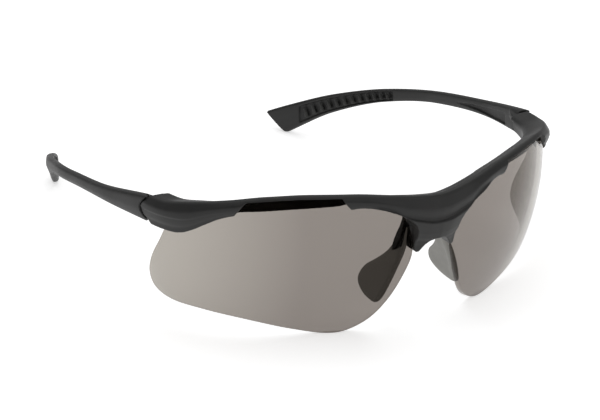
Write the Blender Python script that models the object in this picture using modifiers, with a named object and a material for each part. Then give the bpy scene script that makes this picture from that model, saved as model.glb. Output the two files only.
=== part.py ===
"""Half-rim wrap safety glasses: a moulded front, two lenses, two nose pads and two folding temples.

The object is modelled at real size, resting on the lower edges of its lenses and on its temple tips.
+X is the wearer's left, +Y runs back along the temples and +Z is up. Lengths below are in
millimetres, and vertex() turns them into metres. Left-hand pieces are modelled and then mirrored.
"""

import math

import bmesh
import bpy
from mathutils import Matrix, Vector

MM = 0.001
CENTRE_Y = 82.3
GAP = 0.3                 # clearance between pieces that touch

# The lens surface is part of an ellipsoid that leans forward with height.
WRAP_CENTRE = (-15.0, 53.2, 26.8)
WRAP_RADII = (83.2, 54.6, 75.8)
WRAP_LEAN = -0.135
LENS_THICK = 2.0
LENS_MIDDLE = (50.0, 24.0)      # wrap angle in degrees and height inside the outline
LENS_TOP = (
    (18.0, 38.4), (20.5, 41.4), (25, 44.0), (32, 45.3), (40, 45.4),
    (47, 44.9), (55, 43.7), (63, 41.7), (71, 38.3),
)
LENS_EDGE = (
    (77.5, 34.0), (81.0, 27.2), (84.6, 20.5), (86.3, 14.6),
    (84.4, 10.0), (77.5, 7.7), (66.0, 7.1), (53.8, 5.4),
    (42.0, 2.2), (34.0, 0.1), (28.8, 0.7), (23.4, 4.9),
    (19.3, 12.2), (16.2, 22.0), (15.5, 27.5), (16.3, 33.5),
)

# Moulded front: curves of its section by wrap angle.
FRONT_TOP = (
    (8, 45.0), (11, 45.0), (15, 45.4), (20, 46.2), (30, 47.4),
    (40, 47.7), (50, 46.9), (60, 45.0), (70, 43.0),
    (80, 41.0), (93, 40.2),
)
FRONT_BACK_DROP = ((8, 1.2), (20, 2.2), (30, 3.0), (50, 3.0), (62, 2.6), (75, 1.4), (84, 0.6), (93, 0.3))
FRONT_BOTTOM = (
    (8, 25.5), (17, 25.5), (27.5, 43.0), (33, 42.7), (43, 42.1), (52, 41.1), (57, 40.5),
    (61, 39.0), (65, 36.5), (69, 33.9), (72, 32.5), (75, 31.9), (80, 31.7), (93, 31.6),
)
FRONT_BACK_RISE = ((60, 0.0), (74, 3.0), (93, 3.4))
FRONT_CREASE = (
    (8, 36.8), (11, 36.8), (15, 38.0), (18, 39.6), (21, 41.9),
    (25, 43.6), (33, 44.4), (52, 43.2), (62, 41.0),
    (72, 37.4), (93, 36.0),
)
FRONT_BULGE = (
    (8, 2.7), (10.5, 3.1), (13, 3.4), (17, 3.4), (22, 2.9),
    (30, 2.1), (50, 1.9), (62, 2.2), (74, 2.5), (93, 2.0),
)
FRONT_BACK = ((8, -3.6), (18, -4.2), (30, -5.6), (45, -6.0), (60, -6.2), (75, -6.2), (93, -6.1))
WEB_FACE = (
    (8, 1.3), (10.5, 1.3), (13, 0.9), (15.3, 0.3), (17, 0.6), (18.5, 1.1), (21, 1.4), (25, 1.7),
    (50, 1.3), (62, 1.1), (74, 0.9), (93, 0.8),
)
# The same just under the crease, where the bridge has a narrow rolled edge and the end piece a soft turn.
UNDER_FACE = (
    (8, 1.9), (10.5, 2.2), (13, 2.5), (15.3, 2.5), (17, 2.5), (21, 2.6), (25, 2.2), (50, 1.7), (62, 1.9),
    (74, 2.1), (93, 1.7),
)
TUCK = ((8, 1.3), (15, 1.2), (22, 0.5), (27, 0.1), (93, 0.1))   # how far the brow turns in above the crease
FRONT_ANGLES = (7.0, 94.0)
FRONT_STEPS = 40

# Opening in the front's face that shows the lens edge in front of the bar: angles at its top and foot.
WINDOW_INNER = ((41, 28.8), (46, 32.0))
WINDOW_OUTER = ((41, 57.0), (46, 54.0))
WINDOW_HEIGHTS = (38.0, 41.0, 43.5)
WINDOW_ABOVE_LENS = 1.15

# Lower outline of the bridge from the brow round the fork's tip to the middle of the nose arch.
BRIDGE_OUTLINE = (
    (27.0, 20.0), (27.0, 42.9), (24.4, 43.3), (21.0, 43.1),
    (17.6, 42.4), (14.6, 41.2), (12.2, 39.9), (10.0, 38.4),
    (8.3, 36.7), (7.3, 34.7), (7.0, 32.0), (7.1, 28.6), (6.8, 27.1), (6.1, 26.5), (5.4, 26.7), (4.7, 27.8),
    (3.7, 29.2), (2.6, 30.2), (1.3, 30.8),
)

# Hinge: a screw along Z through two knuckles of the front and the temple's eye between them.
HINGE = (65.9, 48.4)
KNUCKLE_R = 2.2
EYE_R = 2.1
EYE_Z = (36.1, 38.3)
NECK_END = 9.0                  # how far behind the hinge the eye's neck runs into the arm
SCREW_R = 0.75
SCREW_HEAD_R = 1.35
SCREW_HOLE_R = 0.95
SCREW_Z = (34.2, 39.1)
SCREW_HEAD = 0.7
NOSE_REAR = (
    (30.0, 46.0), (32.4, 47.8), (34.2, 50.2), (36.3, 51.0),
    (38.6, 49.6), (40.0, 48.2), (41.2, 47.4), (42.6, 46.8),
)

# Temples: centre line and edges by distance back from the datum.
TEMPLE_CENTRE = (
    (40, 66.2), (52, 68.1), (75, 70.1), (100, 68.7), (125, 63.3), (145, 54.8), (160, 47.0), (174, 40.4),
)
TEMPLE_TOP = (
    (40, 42.0), (52, 39.7), (75, 34.9), (100, 30.3), (125, 24.4), (145, 17.7), (160, 10.8), (174, 3.6),
)
TEMPLE_BOTTOM = (
    (40, 32.0), (52, 31.5), (75, 29.9), (100, 26.2), (125, 19.6), (145, 10.8), (160, 0.7), (174, -9.0),
)
TEMPLE_HALF = ((40, 1.9), (52, 1.9), (75, 1.6), (125, 1.5), (150, 1.8), (174, 1.9))
TEMPLE_SPAN = (41.0, 174.0)
TEMPLE_STEPS = 34
TIP_FOOT = (161.8, 0.0)
TIP_HEAD = (169.5, 6.4)
TIP_FLAT = 3.0                  # length of the flat foot at the tip's lower corner
TIP_ROUND = 1.3                 # how far the rounding of the tip's upper corner reaches

# Soft insert on the inner face of each temple, with ribs across it.
GRIP_SPAN = (120.0, 156.0)
GRIP_DEPTH = 0.9
GRIP_PROUD = 0.25
RIB_COUNT = 12
RIB_PROUD = 0.35
GRIP_EDGE = (0.14, 0.80)        # lower and upper edge as fractions of the temple's height

# Nose pads: outline seen from the side, and the middle of the pad across the face by height.
PAD_OUTLINE = (
    (4.9, 33.4), (6.4, 33.2), (8.0, 30.0), (9.6, 26.2),
    (11.6, 23.2), (15.0, 20.0), (18.6, 17.0), (20.3, 13.8),
    (19.6, 11.5), (16.5, 9.7), (12.5, 8.9), (8.9, 9.0), (7.4, 11.0), (6.2, 15.0), (5.2, 20.0), (4.7, 25.0),
    (4.7, 30.0),
)
PAD_MIDDLE = ((9, 14.2), (14, 12.4), (20, 10.1), (26, 7.6), (30, 6.4), (34, 6.0))
PAD_CENTRE = (10.5, 17.0)
PAD_HALF = 1.15
LUG_FRONT = ((25.8, 6.3), (26.5, 5.5), (28, 4.9), (31, 4.1), (34, 3.4), (38.5, 2.8))
LUG_REAR = ((25.8, 7.0), (26.5, 7.4), (28, 7.5), (31, 6.7), (33, 5.7), (34.5, 5.0), (36.5, 4.3), (38.5, 4.0))
LUG_THICK = 1.3
PEG_Y = (5.4, 6.8)
PEG_Z = (26.6, 30.0)
PEG_X = (5.6, 9.2)

BLACK_NYLON = ((0.030, 0.030, 0.028, 1.0), 0.55, 0.0)
TINTED_LENS = ((0.16, 0.15, 0.14, 1.0), 0.05, 0.0)
SOFT_RUBBER = ((0.11, 0.108, 0.10, 1.0), 0.75, 0.0)
STEEL = ((0.45, 0.45, 0.45, 1.0), 0.30, 1.0)


def smooth(pairs, at):
    """The value at one place of the smooth curve through (place, value) pairs, held at both ends."""
    if at <= pairs[0][0]:
        return pairs[0][1]
    if at >= pairs[-1][0]:
        return pairs[-1][1]
    index = max(i for i, pair in enumerate(pairs) if pair[0] <= at)
    slopes = [slope_at(pairs, index), slope_at(pairs, index + 1)]
    (low, low_value), (high, high_value) = pairs[index], pairs[index + 1]
    width = high - low
    t = (at - low) / width
    start = (1 + 2 * t) * (1 - t) ** 2 * low_value + t * (1 - t) ** 2 * width * slopes[0]
    return start + t * t * (3 - 2 * t) * high_value + t * t * (t - 1) * width * slopes[1]


def slope_at(pairs, index):
    """The curve's slope at one pair, which never overshoots its neighbours."""
    steps = [(b[1] - a[1]) / (b[0] - a[0]) for a, b in zip(pairs, pairs[1:])]
    if index == 0:
        return steps[0]
    if index == len(pairs) - 1:
        return steps[-1]
    before, after = steps[index - 1], steps[index]
    return 0.0 if before * after <= 0 else 2 * before * after / (before + after)


def spread(span, steps):
    """Evenly spaced values over a span, both ends included."""
    return [span[0] + (span[1] - span[0]) * i / steps for i in range(steps + 1)]


def closed_curve(points, count, stretch=1.0):
    """Evenly spaced points on the smooth closed curve through a few points."""
    fine = []
    total = len(points)
    for i in range(total):
        p0, p1, p2, p3 = (Vector(points[(i + k - 1) % total]) for k in range(4))
        for j in range(12):
            t = j / 12
            fine.append(0.5 * (2 * p1 + (p2 - p0) * t + (2 * p0 - 5 * p1 + 4 * p2 - p3) * t * t
                               + (3 * p1 - p0 - 3 * p2 + p3) * t ** 3))
    lengths = [math.hypot((b.x - a.x) * stretch, b.y - a.y) for a, b in zip(fine, fine[1:] + fine[:1])]
    step = sum(lengths) / count
    result, walked, index = [], 0.0, 0
    for i in range(count):
        while walked + lengths[index] < i * step:
            walked += lengths[index]
            index += 1
        part = (i * step - walked) / lengths[index]
        result.append(fine[index].lerp(fine[(index + 1) % len(fine)], part))
    return result


def vertex(x, y, z):
    """A point in metres, with the origin under the middle of the object."""
    return Vector((x, y - CENTRE_Y, z)) * MM


def wrap_point(angle, z, outward):
    """A point at a wrap angle and height, a distance outward from the lens's front surface."""
    a, b, c = (radius + outward for radius in WRAP_RADII)
    rise = z - WRAP_CENTRE[2]
    narrow = math.sqrt(1 - (rise / c) ** 2)
    turn = math.radians(angle)
    x = WRAP_CENTRE[0] + a * narrow * math.sin(turn)
    y = WRAP_CENTRE[1] + WRAP_LEAN * rise - b * narrow * math.cos(turn)
    return vertex(x, y, z)


def make_object(name, mesh, collection):
    obj = bpy.data.objects.new(name, mesh)
    collection.objects.link(obj)
    return obj


def loft(name, rings, collection):
    """A closed solid through rings of points, with a face over each end."""
    bm = bmesh.new()
    loops = [[bm.verts.new(point) for point in ring] for ring in rings]
    count = len(loops[0])
    for near, far in zip(loops, loops[1:]):
        for i in range(count):
            j = (i + 1) % count
            bm.faces.new((near[i], near[j], far[j], far[i]))
    bm.faces.new(reversed(loops[0]))
    bm.faces.new(loops[-1])
    bmesh.ops.recalc_face_normals(bm, faces=bm.faces)
    mesh = bpy.data.meshes.new(name)
    bm.to_mesh(mesh)
    bm.free()
    return make_object(name, mesh, collection)


def prism(name, outline, low, high, to_vertex, collection):
    """A flat outline extruded between two levels; to_vertex places a point (u, v) at a level."""
    rings = [[to_vertex(u, v, level) for u, v in outline] for level in (low, high)]
    return loft(name, rings, collection)


def cylinder(name, x, y, radius, low, high, collection, sides=24):
    """An upright cylinder between two heights."""
    bpy.ops.mesh.primitive_cylinder_add(vertices=sides, radius=radius * MM, depth=(high - low) * MM)
    return adopt(name, Matrix.Translation(vertex(x, y, (low + high) / 2)), collection)


def box(name, low, high, collection):
    """A box between two corners."""
    bpy.ops.mesh.primitive_cube_add(size=1)
    near, far = vertex(*low), vertex(*high)
    scale = Matrix.Diagonal((far - near).to_4d())
    return adopt(name, Matrix.Translation((near + far) / 2) @ scale, collection)


def adopt(name, place, collection):
    """Names the primitive just added, puts its mesh in its place and moves it to a collection."""
    obj = bpy.context.object
    obj.name = name
    obj.data.name = name
    obj.data.transform(place)
    for old in list(obj.users_collection):
        old.objects.unlink(obj)
    collection.objects.link(obj)
    return obj


def cut(obj, cutter, operation="DIFFERENCE"):
    """Adds a Boolean modifier and hides the other object, which only guides it."""
    modifier = obj.modifiers.new(cutter.name, "BOOLEAN")
    modifier.operation = operation
    modifier.solver = "EXACT"
    modifier.object = cutter
    cutter.hide_render = True
    cutter.display_type = "WIRE"


def add_mirror(obj, bisect=False):
    """Mirrors a piece or a cutter across the middle of the object."""
    modifier = obj.modifiers.new("Mirror", "MIRROR")
    modifier.use_axis = (True, False, False)
    modifier.use_bisect_axis = (bisect, False, False)
    modifier.merge_threshold = 0.00005
    modifier.use_mirror_merge = bisect


def baked(obj, name, collection, side=1, pivot=None):
    """A plain mesh object from an object's modifiers, or its mirror image where side is -1."""
    bpy.context.view_layer.update()
    shape = obj.evaluated_get(bpy.context.evaluated_depsgraph_get())
    mesh = bpy.data.meshes.new_from_object(shape)
    mesh.name = name
    mesh.transform(obj.matrix_world)
    if side < 0:
        mesh.transform(Matrix.Scale(-1, 4, (1, 0, 0)))
        mesh.flip_normals()
    piece = make_object(name, mesh, collection)
    if pivot:
        mesh.transform(Matrix.Translation(-pivot.location))
        piece.parent = pivot
    return piece


def finish(obj, look, name):
    """Gives a piece its material and smooth shading."""
    colour, roughness, metallic = look
    material = bpy.data.materials.new(name)
    material.use_nodes = True
    shader = material.node_tree.nodes["Principled BSDF"]
    shader.inputs["Base Color"].default_value = colour
    shader.inputs["Roughness"].default_value = roughness
    shader.inputs["Metallic"].default_value = metallic
    obj.data.materials.clear()
    obj.data.materials.append(material)
    obj.data.shade_smooth()
    obj.data.set_sharp_from_angle(angle=math.radians(35))


def lens_outline(count, grow=0.0):
    """The lens outline as wrap angles and heights, pushed outward by grow millimetres."""
    points = closed_curve(LENS_TOP + LENS_EDGE, count, stretch=1.2)
    if not grow:
        return points
    grown = []
    for before, point, after in zip(points[-1:] + points[:-1], points, points[1:] + points[:1]):
        along = Vector(((after.x - before.x) * 1.2, after.y - before.y)).normalized()
        grown.append(point + Vector((-along.y / 1.2, along.x)) * grow)
    return grown


def lens_solid(name, collection, grow=0.0, count=64):
    """The lens: rings from the middle of its front face out to the edge and back to its rear face."""
    outline = lens_outline(count, grow)
    middle = Vector(LENS_MIDDLE)
    shares = (0.12, 0.35, 0.6, 0.82, 1.0)
    front = [[middle.lerp(point, share) for point in outline] for share in shares]
    rings = [[wrap_point(p.x, p.y, grow) for p in ring] for ring in front]
    rings += [[wrap_point(p.x, p.y, -LENS_THICK - grow) for p in ring] for ring in reversed(front)]
    return loft(name, rings, collection)


def front_section(angle):
    """The front's section at a wrap angle: a brow over a web at the bridge, one rounded bar elsewhere."""
    top, bottom = smooth(FRONT_TOP, angle), smooth(FRONT_BOTTOM, angle)
    crease, bulge = smooth(FRONT_CREASE, angle), smooth(FRONT_BULGE, angle)
    back, web = smooth(FRONT_BACK, angle), smooth(WEB_FACE, angle)
    under, tuck = smooth(UNDER_FACE, angle), smooth(TUCK, angle)
    drop, rise = smooth(FRONT_BACK_DROP, angle), smooth(FRONT_BACK_RISE, angle)
    crease = max(crease, bottom + 0.9)
    height, skirt = top - crease, crease - bottom
    shoulder = bulge - 1.0
    rear_top, rear_foot = top - drop, bottom + rise
    soft = min(1.4, 0.35 * (rear_top - rear_foot))
    return [
        (back, rear_top - soft), (back + 0.4, rear_top - 0.4 * soft), (back + 1.5, top - 0.75 * drop),
        ((back + shoulder) / 2, top - 0.45 * drop), (shoulder - 0.9, top - 0.05),
        (shoulder - 0.1, top - 0.4), (bulge - 0.45, top - 0.35 * height), (bulge, crease + 0.45 * height),
        (bulge - 0.35 * tuck, crease + 0.22 * height), (bulge - tuck, crease),
        (under, crease - 0.1 * soft), (under - 0.1, crease - 0.3 * soft),
        ((web + under) / 2, crease - 0.45 * skirt),
        (web, bottom + 0.35 * skirt), (web - 0.15, bottom + 0.15 * soft),
        (web - 0.7, bottom), (back + 0.8, rear_foot), (back, rear_foot + 0.5 * soft),
        (back, (rear_top + rear_foot) / 2),
    ]


def front_solid(collection):
    """The left half of the front, past the middle plane and past the hinge, before it is cut to shape."""
    rings = []
    for angle in spread(FRONT_ANGLES, FRONT_STEPS):
        rings.append([wrap_point(angle, z, outward) for outward, z in front_section(angle)])
    return loft("frame_front", rings, collection)


def window_cutter(collection):
    """The space in front of the bar from just above the lens's edge down, with slanting ends."""
    heights = list(WINDOW_HEIGHTS)
    rings = []
    for share in spread((0.0, 1.0), 14):
        def at(z):
            inner = linear(WINDOW_INNER, z)
            return inner + (linear(WINDOW_OUTER, z) - inner) * share
        edge = smooth(LENS_TOP, at(46))
        top = edge + WINDOW_ABOVE_LENS
        front = [wrap_point(at(z), z, 9.0) for z in heights + [top]]
        ceiling = [wrap_point(at(top), top, GAP)]
        rear = [wrap_point(at(z), z, -LENS_THICK - GAP) for z in reversed(heights + [edge + GAP])]
        rings.append(front + ceiling + rear)
    return loft("lens_window_cutter", rings, collection)


def linear(pairs, at):
    """The value at one place of the straight line through two (place, value) pairs."""
    (low, low_value), (high, high_value) = pairs
    return low_value + (high_value - low_value) * (at - low) / (high - low)


def bridge_cutter(collection):
    """Everything below the bridge's lower outline, on both sides at once."""
    half = list(BRIDGE_OUTLINE)
    outline = half + [(-x, z) for x, z in reversed(half)]
    return prism("bridge_cutter", outline, -8.0, 14.0, lambda x, z, y: vertex(x, y, z), collection)


def nose_cutter(name, collection, grow, far):
    """The space between the front's rounded end, pushed back by grow, and a plane across at far."""
    curve = [Vector((smooth(NOSE_REAR, z), z)) for z in spread((NOSE_REAR[0][0], NOSE_REAR[-1][0]), 21)]
    rear = []
    for before, point, after in zip(curve[:1] + curve, curve, curve[1:] + curve[-1:]):
        along = (after - before).normalized()
        rear.append(point + Vector((along.y, -along.x)) * grow)
    outline = [(far, rear[0].y)] + [tuple(point) for point in rear] + [(far, rear[-1].y)]
    return prism(name, outline, 58.0, 76.0, lambda y, z, x: vertex(x, y, z), collection)


def corner_cutter(collection):
    """Rounds the inner rear corner of the front about the hinge axis."""
    x, y = HINGE
    turns = spread((0.0, math.pi / 2), 8)
    arc = [(x - KNUCKLE_R * math.sin(t), y + KNUCKLE_R * math.cos(t)) for t in turns]
    outline = [(x, 60.0)] + arc + [(x - KNUCKLE_R, y - 0.6), (55.0, y - 0.6), (55.0, 60.0)]
    return prism("knuckle_cutter", outline, 28.0, 46.0, vertex, collection)


def eye_slot_cutter(collection):
    """The slot between the knuckles, open to the rear and to the inner side so that the temple can fold."""
    x, y = HINGE
    radius = EYE_R + GAP + 0.05
    arc = [(x + radius * math.cos(t), y + radius * math.sin(t)) for t in spread((-math.pi / 2, 0.0), 8)]
    outline = arc + [(x + radius, 60.0), (50.0, 60.0), (50.0, y - radius)]
    return prism("eye_slot_cutter", outline, EYE_Z[0] - GAP, EYE_Z[1] + GAP, vertex, collection)


def pad_lug(collection):
    """The lug behind the fork that follows the nose pad, and the peg through the pad."""
    rings = []
    for z in spread((LUG_FRONT[0][0], LUG_FRONT[-1][0]), 10):
        near = smooth(PAD_MIDDLE, z) + PAD_HALF + GAP
        far = near + LUG_THICK
        corners = ((near, LUG_FRONT), (far, LUG_FRONT), (far, LUG_REAR), (near, LUG_REAR))
        rings.append([vertex(x, smooth(edge, z), z) for x, edge in corners])
    lug = loft("pad_lug", rings, collection)
    add_mirror(lug)
    peg = box("pad_peg", (PEG_X[0], PEG_Y[0], PEG_Z[0]), (PEG_X[1], PEG_Y[1], PEG_Z[1]), collection)
    add_mirror(peg)
    return lug, peg


def build_front(parts, cutters):
    front = front_solid(parts)
    add_mirror(front, bisect=True)
    cut(front, bridge_cutter(cutters))
    for extra in pad_lug(cutters):
        cut(front, extra, "UNION")
    x, y = HINGE
    hole = cylinder("screw_hole_cutter", x, y, SCREW_HOLE_R, 28.0, SCREW_Z[1] + GAP, cutters)
    seat = SCREW_Z[0] + SCREW_HEAD + GAP
    recess = cylinder("screw_head_cutter", x, y, SCREW_HEAD_R + GAP, 28.0, seat, cutters)
    pair_cutters = [
        lens_solid("lens_seat_cutter", cutters, grow=GAP), window_cutter(cutters),
        nose_cutter("nose_rear_cutter", cutters, 0.0, 70.0), corner_cutter(cutters),
        eye_slot_cutter(cutters), hole, recess,
    ]
    for cutter in pair_cutters:
        add_mirror(cutter)
        cut(front, cutter)
    finish(front, BLACK_NYLON, "frame_front")


def temple_section(y):
    """Upper and lower edge, centre line and half thickness of the temple at one distance back."""
    return smooth(TEMPLE_TOP, y), smooth(TEMPLE_BOTTOM, y), smooth(TEMPLE_CENTRE, y), smooth(TEMPLE_HALF, y)


def temple_solid(name, collection):
    """The temple arm: flat inside, with a crease outside and a chamfer under it."""
    rings = []
    for y in spread(TEMPLE_SPAN, TEMPLE_STEPS):
        top, bottom, centre, half = temple_section(y)
        height = top - bottom
        profile = [
            (half - 0.9, top), (half - 0.2, top - 0.10 * height), (half, top - 0.45 * height),
            (half - 0.15, top - 0.60 * height), (half - 0.8, bottom + 0.14 * height),
            (half - 1.6, bottom), (0.6 - half, bottom), (-half, bottom + 0.12 * height),
            (-half, top - 0.12 * height), (0.6 - half, top),
        ]
        rings.append([vertex(centre + x, y, z) for x, z in profile])
    return loft(name, rings, collection)


def tip_cutter(collection):
    """Cuts the temple's slanting end and the small flat that it stands on."""
    foot, head = Vector(TIP_FOOT), Vector(TIP_HEAD)
    along = (head - foot).normalized()
    start, end = head - along * TIP_ROUND, head + Vector((-TIP_ROUND, 0.5 * TIP_ROUND))
    corner = []
    for t in spread((0.0, 1.0), 5):
        corner.append(tuple(start.lerp(head, t).lerp(head.lerp(end, t), t)))
    outline = [
        (foot.x - TIP_FLAT - 30.0, -20.0), (foot.x - TIP_FLAT - 30.0, 0.0), tuple(foot), *corner,
        (end.x - 2.0, end.y + 30.0), (200.0, end.y + 30.0), (200.0, -20.0),
    ]
    return prism("tip_cutter", outline, 30.0, 60.0, lambda y, z, x: vertex(x, y, z), collection)


def grip_solid(name, collection, grow=0.0):
    """The ribbed insert, or the pocket for it where grow is its clearance."""
    rings = []
    span = (GRIP_SPAN[0] - grow, GRIP_SPAN[1] + grow)
    for i, y in enumerate(spread(span, RIB_COUNT * 4)):
        top, bottom, centre, half = temple_section(y)
        height = top - bottom
        low = bottom + GRIP_EDGE[0] * height - grow
        high = bottom + GRIP_EDGE[1] * height + grow
        face = centre - half
        proud = 3.0 if grow else GRIP_PROUD + (RIB_PROUD if i % 4 in (1, 2) else 0.0)
        rings.append([vertex(x, y, z) for x, z in (
            (face + GRIP_DEPTH + grow, low), (face + GRIP_DEPTH + grow, high), (face - proud * 0.4, high),
            (face - proud, high - 0.5), (face - proud, low + 0.5), (face - proud * 0.4, low))])
    return loft(name, rings, collection)


def hinge_eye(collection):
    """The temple's eye and the neck that joins it to the arm."""
    x, y = HINGE
    eye = cylinder("temple_eye", x, y, EYE_R, EYE_Z[0], EYE_Z[1], collection)
    end = y + NECK_END
    outline = [(x - EYE_R, y), (x + EYE_R, y), (x + EYE_R, end), (x + 1.2, end), (x - 1.4, y + 4.5)]
    return eye, prism("temple_neck", outline, EYE_Z[0], EYE_Z[1], vertex, collection)


def hinge_pivots(collection):
    """An empty on each hinge axis, which carries the temple and its grip."""
    x, y = HINGE
    pivots = {}
    for side in (1, -1):
        pivot = bpy.data.objects.new("hinge_axis_left" if side > 0 else "hinge_axis_right", None)
        pivot.location = vertex(side * x, y, sum(EYE_Z) / 2)
        pivot.empty_display_size = 0.01
        collection.objects.link(pivot)
        pivots[side] = pivot
    return pivots


def temple_arm(cutters):
    arm = temple_solid("temple_arm", cutters)
    cut(arm, nose_cutter("nose_front_cutter", cutters, GAP, 20.0))
    x, y = HINGE
    radius = KNUCKLE_R + GAP + 0.05
    cut(arm, cylinder("knuckle_clearance", x, y, radius, 28.0, 46.0, cutters, sides=32))
    for extra in hinge_eye(cutters):
        cut(arm, extra, "UNION")
    cut(arm, cylinder("eye_hole_cutter", x, y, SCREW_HOLE_R, 28.0, 46.0, cutters))
    cut(arm, tip_cutter(cutters))
    cut(arm, grip_solid("grip_pocket_cutter", cutters, grow=GAP))
    return arm


def build_pair(stem, shape, look, parts, pivots=None):
    """Left and right copies of a guide shape, which is then hidden."""
    shape.hide_render = True
    shape.display_type = "WIRE"
    for side, word in ((1, "left"), (-1, "right")):
        pivot = pivots[side] if pivots else None
        finish(baked(shape, f"{stem}_{word}", parts, side, pivot), look, f"{stem}_{word}")


def pad_solid(collection):
    """The nose pad: a leaf with rounded rims, flat against the nose."""
    outline = closed_curve(PAD_OUTLINE, 36)
    middle = Vector(PAD_CENTRE)
    rings = []
    levels = ((0.3, -1.0), (0.8, -1.0), (0.95, -0.75), (1.0, 0.0), (0.95, 0.75), (0.8, 1.0), (0.3, 1.0))
    for share, offset in levels:
        ring = []
        for point in outline:
            y, z = middle.lerp(point, share)
            ring.append(vertex(smooth(PAD_MIDDLE, z) + offset * PAD_HALF, y, z))
        rings.append(ring)
    return loft("pad_body", rings, collection)


def build_pads(parts, cutters):
    pad = pad_solid(cutters)
    cut(pad, lens_solid("pad_lens_cutter", cutters, grow=GAP))
    low = (0.0, PEG_Y[0] - GAP, PEG_Z[0] - GAP)
    high = (12.0, PEG_Y[1] + GAP, PEG_Z[1] + GAP)
    cut(pad, box("pad_slot_cutter", low, high, cutters))
    build_pair("nose_pad", pad, SOFT_RUBBER, parts)


def screw_solid(collection):
    """The hinge screw: a head under the lower knuckle and a plain shank."""
    bottom, top = SCREW_Z
    shoulder = bottom + SCREW_HEAD
    profile = [
        (0.0, top), (SCREW_R, top), (SCREW_R, shoulder), (SCREW_HEAD_R, shoulder),
        (SCREW_HEAD_R, bottom), (0.0, bottom),
    ]
    mesh = bpy.data.meshes.new("screw_body")
    mesh.from_pydata([(r * MM, 0.0, z * MM) for r, z in profile], [(i, i + 1) for i in range(5)], [])
    screw = make_object("screw_body", mesh, collection)
    screw.location = vertex(*HINGE, 0.0)
    turn = screw.modifiers.new("Turn", "SCREW")
    turn.steps = 20
    turn.render_steps = 20
    turn.use_merge_vertices = True
    turn.merge_threshold = 0.00005
    return screw


def clear_scene():
    for obj in list(bpy.data.objects):
        bpy.data.objects.remove(obj)


def main():
    clear_scene()
    parts = bpy.data.collections.new("safety_glasses")
    cutters = bpy.data.collections.new("cutters")
    for collection in (parts, cutters):
        bpy.context.scene.collection.children.link(collection)
    build_front(parts, cutters)
    build_pair("lens", lens_solid("lens_body", cutters), TINTED_LENS, parts)
    build_pads(parts, cutters)
    pivots = hinge_pivots(parts)
    build_pair("temple", temple_arm(cutters), BLACK_NYLON, parts, pivots)
    build_pair("temple_grip", grip_solid("grip_body", cutters), SOFT_RUBBER, parts, pivots)
    build_pair("hinge_screw", screw_solid(cutters), STEEL, parts)


main()
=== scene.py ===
import math

import bmesh
import bpy
from mathutils import Matrix, Vector


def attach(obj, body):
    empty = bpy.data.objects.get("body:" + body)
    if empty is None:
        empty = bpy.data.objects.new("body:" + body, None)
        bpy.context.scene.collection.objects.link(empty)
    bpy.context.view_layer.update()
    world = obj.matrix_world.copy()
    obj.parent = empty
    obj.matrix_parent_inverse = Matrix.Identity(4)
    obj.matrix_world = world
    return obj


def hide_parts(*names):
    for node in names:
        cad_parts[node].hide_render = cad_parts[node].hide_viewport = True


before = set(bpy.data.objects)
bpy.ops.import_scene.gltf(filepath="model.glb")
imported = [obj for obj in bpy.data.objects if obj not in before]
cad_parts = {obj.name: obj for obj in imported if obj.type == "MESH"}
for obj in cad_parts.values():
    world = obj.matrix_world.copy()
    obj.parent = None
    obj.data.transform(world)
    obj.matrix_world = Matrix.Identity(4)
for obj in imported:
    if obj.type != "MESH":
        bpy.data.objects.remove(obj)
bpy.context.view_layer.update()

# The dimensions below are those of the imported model, in millimetres, so that each fine surface
# fills the space of the CAD node that it replaces.
MM = 0.001
CENTRE_Y = 82.3
GAP = 0.3                 # clearance between pieces that touch

# The lens surface is part of an ellipsoid that leans forward with height.
WRAP_CENTRE = (-15.0, 53.2, 26.8)
WRAP_RADII = (83.2, 54.6, 75.8)
WRAP_LEAN = -0.135
LENS_THICK = 2.0
LENS_MIDDLE = (50.0, 24.0)      # wrap angle in degrees and height inside the outline
LENS_TOP = (
    (18.0, 38.4), (20.5, 41.4), (25, 44.0), (32, 45.3), (40, 45.4),
    (47, 44.9), (55, 43.7), (63, 41.7), (71, 38.3),
)
LENS_EDGE = (
    (77.5, 34.0), (81.0, 27.2), (84.6, 20.5), (86.3, 14.6),
    (84.4, 10.0), (77.5, 7.7), (66.0, 7.1), (53.8, 5.4),
    (42.0, 2.2), (34.0, 0.1), (28.8, 0.7), (23.4, 4.9),
    (19.3, 12.2), (16.2, 22.0), (15.5, 27.5), (16.3, 33.5),
)

# Moulded front: curves of its section by wrap angle.
FRONT_TOP = (
    (8, 45.0), (11, 45.0), (15, 45.4), (20, 46.2), (30, 47.4),
    (40, 47.7), (50, 46.9), (60, 45.0), (70, 43.0),
    (80, 41.0), (93, 40.2),
)
FRONT_BACK_DROP = ((8, 1.2), (20, 2.2), (30, 3.0), (50, 3.0), (62, 2.6), (75, 1.4), (84, 0.6), (93, 0.3))
FRONT_BOTTOM = (
    (8, 25.5), (17, 25.5), (27.5, 43.0), (33, 42.7), (43, 42.1), (52, 41.1), (57, 40.5),
    (61, 39.0), (65, 36.5), (69, 33.9), (72, 32.5), (75, 31.9), (80, 31.7), (93, 31.6),
)
FRONT_BACK_RISE = ((60, 0.0), (74, 3.0), (93, 3.4))
FRONT_CREASE = (
    (8, 36.8), (11, 36.8), (15, 38.0), (18, 39.6), (21, 41.9),
    (25, 43.6), (33, 44.4), (52, 43.2), (62, 41.0),
    (72, 37.4), (93, 36.0),
)
FRONT_BULGE = (
    (8, 2.7), (10.5, 3.1), (13, 3.4), (17, 3.4), (22, 2.9),
    (30, 2.1), (50, 1.9), (62, 2.2), (74, 2.5), (93, 2.0),
)
FRONT_BACK = ((8, -3.6), (18, -4.2), (30, -5.6), (45, -6.0), (60, -6.2), (75, -6.2), (93, -6.1))
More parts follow.
